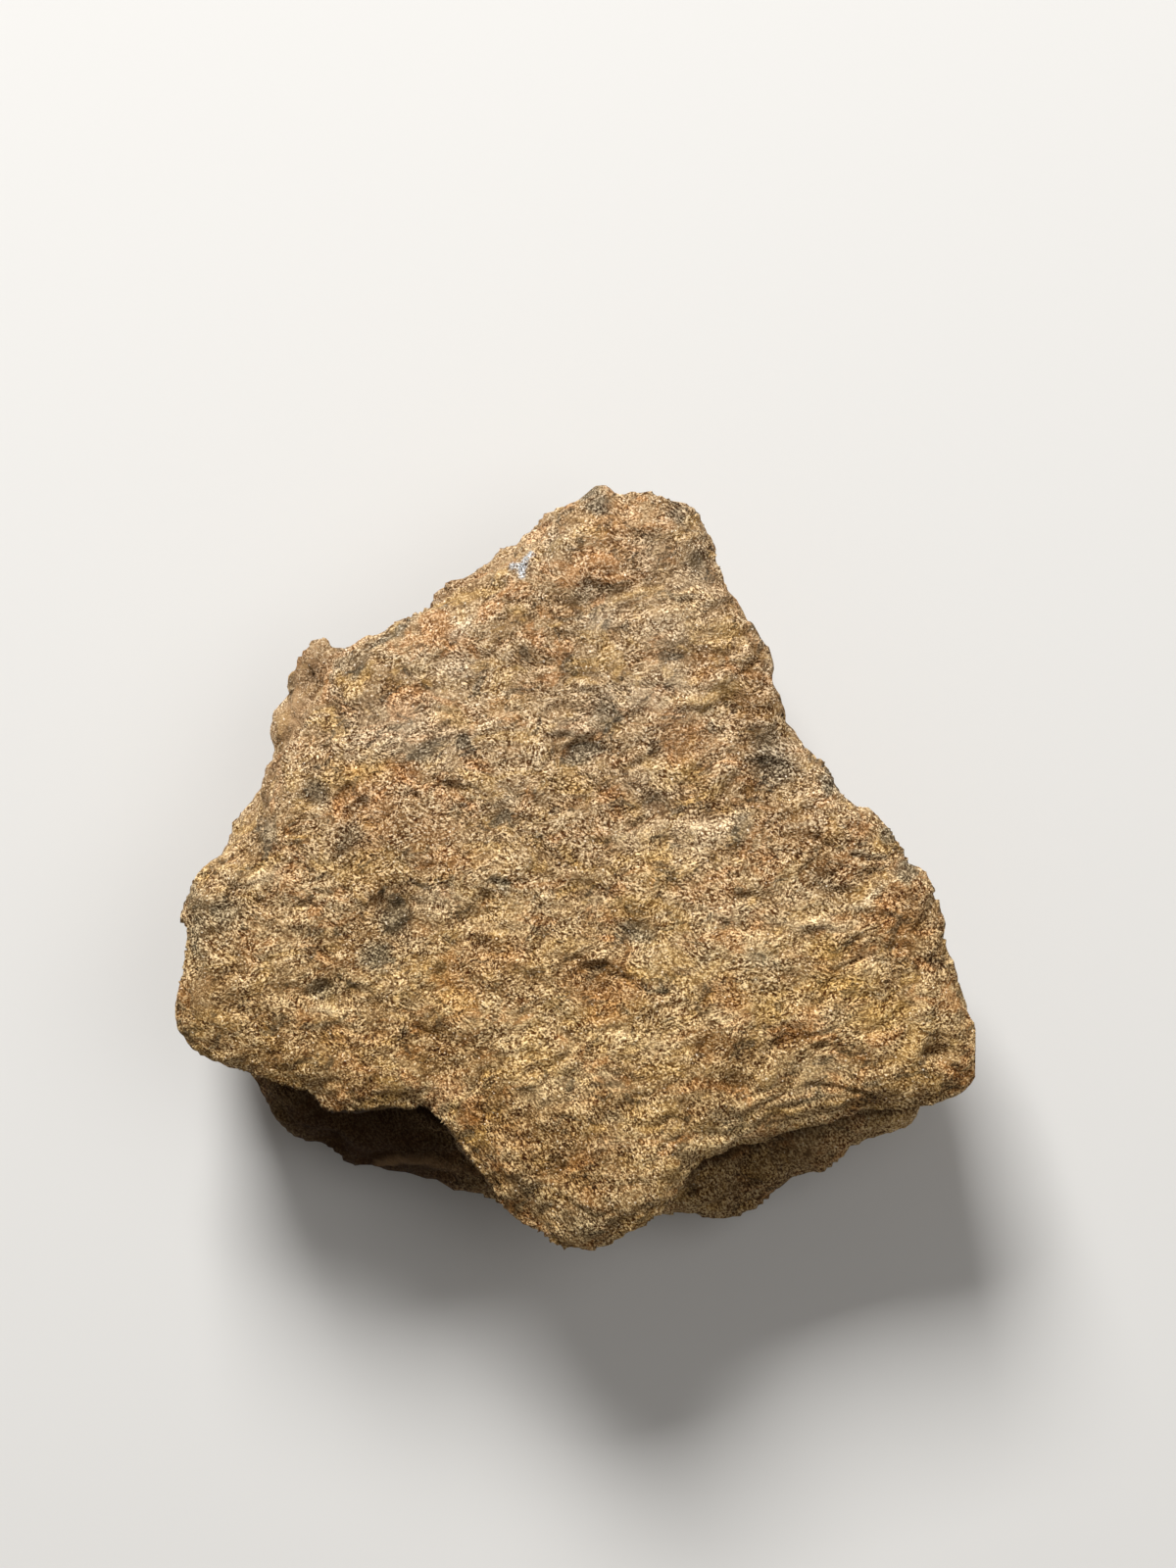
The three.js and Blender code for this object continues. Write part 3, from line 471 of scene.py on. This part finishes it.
# The crust: brown iron oxide, felted like short fibres, rustier and more golden in places.
UMBER = (0.130, 0.060, 0.013, 1)
TAN = (0.392, 0.256, 0.122, 1)
CREAM = (0.860, 0.690, 0.440, 1)
RUST = (0.370, 0.155, 0.040, 1)
OCHRE = (0.470, 0.275, 0.072, 1)
BLUE_GREY = (0.085, 0.067, 0.040, 1)
HOLLOW_SHADE = (0.022, 0.008, 0.002, 1)
GLINT_WHITE = (0.90, 0.84, 0.74, 1)
WALL_BROWN = (0.300, 0.180, 0.085, 1)
BARE_METAL = (0.56, 0.575, 0.58, 1)
LIGHTER = (2.65, 2.75, 2.9, 1)  # the colour under a light fibre is multiplied by this
DARKER = (0.18, 0.085, 0.02, 1)
WARMER = (1.01, 0.985, 0.87, 1)
COOLER = (0.99, 1.01, 1.09, 1)
CRUST_ROUGHNESS = 0.72
METAL_ROUGHNESS = 0.28
CRUST_GLOSS = 0.08
BUMP_STRENGTH = 1.0
BUMP_DEPTH = 0.09 * MM
DUST_BUMP = 0.5

crust = bpy.data.materials.new("weathered_iron_crust")
crust.use_nodes = True
tree = crust.node_tree
tree.nodes.clear()


def node(kind, **settings):
    made = tree.nodes.new(kind)
    for name, value in settings.items():
        setattr(made, name, value)
    return made


def plug(value, socket):
    """Feeds a socket, from another socket or with a number or colour."""
    if isinstance(value, bpy.types.NodeSocket):
        tree.links.new(value, socket)
    else:
        socket.default_value = value


def stored(name):
    return node("ShaderNodeAttribute", attribute_name=name).outputs["Fac"]


def speckle(place, cells, **settings):
    """Shader noise with so many cells to the millimetre."""
    made = node("ShaderNodeTexNoise", noise_type="FBM", normalize=True)
    plug(place, made.inputs["Vector"])
    plug(cells / MM, made.inputs["Scale"])
    for name, value in settings.items():
        plug(value, made.inputs[name.capitalize()])
    return made.outputs["Fac"]


def maths(operation, first, second, clamp=False):
    made = node("ShaderNodeMath", operation=operation, use_clamp=clamp)
    plug(first, made.inputs[0])
    plug(second, made.inputs[1])
    return made.outputs[0]


def times(first, second):
    return maths("MULTIPLY", first, second)


def window(value, start, end):
    """Turns the stretch of a value from start to end, up or down, into 0 to 1."""
    made = node("ShaderNodeMapRange", interpolation_type="SMOOTHSTEP")
    plug(value, made.inputs["Value"])
    plug(start, made.inputs["From Min"])
    plug(end, made.inputs["From Max"])
    return made.outputs["Result"]


def between(first, second, share):
    made = node("ShaderNodeMix", data_type="FLOAT")
    plug(share, made.inputs["Factor"])
    plug(first, made.inputs[2])
    plug(second, made.inputs[3])
    return made.outputs[0]


def tinted(base, tint, share, blend="MIX"):
    """One colour moved some way towards another, or multiplied by it."""
    made = node("ShaderNodeMix", data_type="RGBA", blend_type=blend)
    plug(share, made.inputs["Factor"])
    plug(base, made.inputs[6])
    plug(tint, made.inputs[7])
    return made.outputs[2]


def combed(turn, squeeze):
    """Object places turned by some degrees and squeezed along the new X, for drawn-out noise."""
    made = node("ShaderNodeMapping", vector_type="TEXTURE")
    plug(object_place, made.inputs["Vector"])
    plug((0, 0, math.radians(turn)), made.inputs["Rotation"])
    plug((squeeze, 1, 1), made.inputs["Scale"])
    return made.outputs["Vector"]


def strands(turn):
    """Noise drawn out over twice as long as it is wide, so many degrees from X."""
    return speckle(combed(turn, squeeze=2.4), cells=11.0, detail=2.0, roughness=0.7, distortion=0.45)


object_place = node("ShaderNodeTexCoord").outputs["Object"]
split = node("ShaderNodeSeparateXYZ")
plug(object_place, split.inputs[0])
up_the_face = split.outputs["Y"]
drift = speckle(object_place, cells=0.2, detail=4.0, roughness=0.65)
patch = speckle(combed(turn=12, squeeze=1.5), cells=0.75, detail=4.0, roughness=0.62, distortion=0.8)
mottle = speckle(combed(turn=10, squeeze=1.4), cells=1.5, detail=3.0, roughness=0.62, distortion=0.7)
clumps = window(speckle(object_place, cells=1.1, detail=3.0, roughness=0.6), 0.40, 0.57)
grain = speckle(object_place, cells=4.2, detail=3.0, roughness=0.7, distortion=1.0)
dust = speckle(object_place, cells=11.0, detail=2.0, roughness=0.7)

# The fibres lie one way in one place and another way in the next, and all one way on the spur.
ON_SPUR = (-7.0 * MM, -9.5 * MM)
lay = speckle(object_place, cells=0.8, detail=2.0, distortion=0.5)
fibres = between(strands(-35), strands(20), window(lay, 0.44, 0.52))
fibres = between(fibres, strands(75), window(lay, 0.56, 0.62))
fibres = between(fibres, strands(-58), window(up_the_face, *ON_SPUR))

# The ground under the fibres: dark in its dips and tan on what stands up, which is painted shade in the dips
# and painted light on the crests, then its stains.
RAISED_SHARE = 0.8
DRIFT_SHARE = 0.7
MOTTLE_SHARE = 1.35
ground = maths("ADD", times(stored("relief_shading"), RAISED_SHARE), times(drift, DRIFT_SHARE))
ground = maths("ADD", ground, times(mottle, MOTTLE_SHARE))
colour = tinted(UMBER, TAN, window(ground, 0.98, 1.78))
GREY_SPECKS = 0.7
grey_specks = times(window(mottle, 0.43, 0.34), GREY_SPECKS)
grey = maths("ADD", window(stored("grey"), 0.05, 0.80), grey_specks, clamp=True)
knob = stored("smooth")
STAINS = [  # [tint, where, share], one over the other
    [RUST, window(patch, 0.52, 0.64), 0.55],
    [OCHRE, window(patch, 0.48, 0.38), 0.4],
    [RUST, stored("rust"), 0.85],
    [OCHRE, stored("ochre"), 0.7],
    [CREAM, stored("pale"), 0.4],
    [UMBER, stored("umber"), 0.92],
    # painted shade in pits, creases and cracks
    [UMBER, stored("painted_pit_shade"), 0.75],
    [BLUE_GREY, grey, 0.8],
    [WALL_BROWN, knob, 0.6],
]
for tint, where, share in STAINS:
    colour = tinted(colour, tint, times(where, share))

# Each fibre is a lighter or darker copy of the ground under it. They lie thick in some places, and
# thin on the grey spots, on the knob and near the top.
NEAR_TOP = (3.0 * MM, 8.0 * MM)
GREY_THINNING = 0.15
KNOB_THINNING = 0.5
TOP_THINNING = 0.18
THIN_FELT = 0.62
THICK_FELT = 1.08
LEAST_CREAM = 0.15  # in a light fibre, and so much more where the ground is light
MORE_CREAM = 0.5
thinned = maths("MAXIMUM", times(grey, GREY_THINNING), times(knob, KNOB_THINNING))
thinned = maths("MAXIMUM", thinned, times(window(up_the_face, *NEAR_TOP), TOP_THINNING))
felted = maths("SUBTRACT", between(THIN_FELT, THICK_FELT, clumps), thinned, clamp=True)
creamy = maths("ADD", times(window(ground, 1.0, 1.7), MORE_CREAM), LEAST_CREAM)
light = tinted(tinted(colour, LIGHTER, 1.0, "MULTIPLY"), CREAM, creamy)
dark = tinted(colour, DARKER, 1.0, "MULTIPLY")
threads = colour
THREADS = [  # [tint, where, share], one over the other
    [dark, window(grain, 0.52, 0.34), 0.75],
    [light, window(grain, 0.57, 0.68), 0.5],
    [dark, window(fibres, 0.48, 0.41), 0.95],
    [light, window(fibres, 0.54, 0.61), 0.95],
    [dark, window(dust, 0.45, 0.38), 0.8],
    [light, window(dust, 0.55, 0.61), 0.85],
]
for tint, where, share in THREADS:
    threads = tinted(threads, tint, times(where, share))
colour = tinted(colour, threads, felted)

# The crust is warmer towards the spur. Over it all lie bright specks that are painted glints, painted shade
# in the hollows, a painted highlight on the ledge in the left one, and the nick.
WARM_TO_COOL = (-9.0 * MM, 8.0 * MM)
warmth = tinted(WARMER, COOLER, window(up_the_face, *WARM_TO_COOL))
colour = tinted(colour, warmth, 1.0, "MULTIPLY")
# Painted glints: sparse bright specks in the base colour.
colour = tinted(colour, GLINT_WHITE, window(dust, 0.68, 0.73))
HOLLOW_SHADE_SHARE = 0.95
LEDGE_HIGHLIGHT_SHARE = 0.35
# Painted shade: the hollows go nearly black.
colour = tinted(colour, HOLLOW_SHADE, times(window(stored("painted_hollow_shade"), 0.0, 1.0), HOLLOW_SHADE_SHARE))
# Painted highlight: the ledge's top edge in the left hollow is lifted back out of the painted shade.
colour = tinted(colour, WALL_BROWN, times(stored("ledge"), LEDGE_HIGHLIGHT_SHARE))
bare_spots = times(stored("bare"), window(dust, 0.40, 0.52))
colour = tinted(colour, BARE_METAL, bare_spots)

surface = node("ShaderNodeBsdfPrincipled")
plug(colour, surface.inputs["Base Color"])
plug(bare_spots, surface.inputs["Metallic"])
plug(CRUST_GLOSS, surface.inputs["Specular IOR Level"])
plug(between(CRUST_ROUGHNESS, METAL_ROUGHNESS, bare_spots), surface.inputs["Roughness"])
bump = node("ShaderNodeBump")
plug(BUMP_STRENGTH, bump.inputs["Strength"])
plug(BUMP_DEPTH, bump.inputs["Distance"])
bump_height = maths("ADD", maths("ADD", grain, fibres), times(dust, DUST_BUMP))
plug(bump_height, bump.inputs["Height"])
plug(bump.outputs["Normal"], surface.inputs["Normal"])
output = node("ShaderNodeOutputMaterial")
plug(surface.outputs["BSDF"], output.inputs["Surface"])

skin.data.materials.clear()
skin.data.materials.append(crust)
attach(skin, "root")
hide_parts("meteorite")


# The floor: a plain pale sheet of paper that the piece rests on.
# It isn't part of the object.
FLOOR_SIZE = 2.0
PAPER_WHITE = (0.56, 0.55, 0.53, 1)
PAPER_ROUGHNESS = 0.9
bpy.ops.mesh.primitive_plane_add(size=FLOOR_SIZE)
floor = bpy.context.object
floor.name = "floor"
paper = bpy.data.materials.new("pale_paper")
paper.use_nodes = True
paper_surface = paper.node_tree.nodes["Principled BSDF"]
paper_surface.inputs["Base Color"].default_value = PAPER_WHITE
paper_surface.inputs["Roughness"].default_value = PAPER_ROUGHNESS
floor.data.materials.append(paper)


# Light: one broad soft source beyond the top of the picture and a little to its left.
# A weaker one from the right and a dim even fill stand for the rest of the room.
LIT_SPOT = Vector((0, 0, 0.008))
ROOM_WHITE = (1.0, 0.96, 0.92, 1)
ROOM_STRENGTH = 0.20


def soft_light(name, place, size, power):
    lamp = bpy.data.lights.new(name, "AREA")
    lamp.size = size
    lamp.energy = power
    holder = bpy.data.objects.new(name, lamp)
    holder.location = place
    holder.rotation_euler = (LIT_SPOT - holder.location).to_track_quat("-Z", "Y").to_euler()
    bpy.context.scene.collection.objects.link(holder)


soft_light("key_light", place=(-0.09, 0.33, 0.27), size=0.16, power=3.4)
soft_light("fill_light", place=(0.20, 0.05, 0.42), size=0.30, power=0.5)
room = bpy.data.worlds.new("room")
room.use_nodes = True
room.node_tree.nodes["Background"].inputs["Color"].default_value = ROOM_WHITE
room.node_tree.nodes["Background"].inputs["Strength"].default_value = ROOM_STRENGTH
bpy.context.scene.world = room
bpy.context.scene.view_settings.view_transform = "Standard"


# Camera: straight above the piece, as the photo was taken.
# The peak of the face is at the top of the picture.
CAMERA_DISTANCE = 0.200  # above the broad face
PICTURE_HEIGHT = 0.0615  # what the picture takes in at the face
FACE_HEIGHT = 0.010
PICTURE_CENTRE = (0.0005, 0.0033)
SENSOR_HEIGHT = 24
NEAREST_SHOWN = 0.01
view = bpy.data.cameras.new("photo_view")
view.sensor_fit = "VERTICAL"
view.sensor_height = SENSOR_HEIGHT
view.lens = SENSOR_HEIGHT * CAMERA_DISTANCE / PICTURE_HEIGHT
view.clip_start = NEAREST_SHOWN
camera = bpy.data.objects.new("photo_view", view)
camera.location = (*PICTURE_CENTRE, FACE_HEIGHT + CAMERA_DISTANCE)
bpy.context.scene.collection.objects.link(camera)
bpy.context.scene.camera = camera
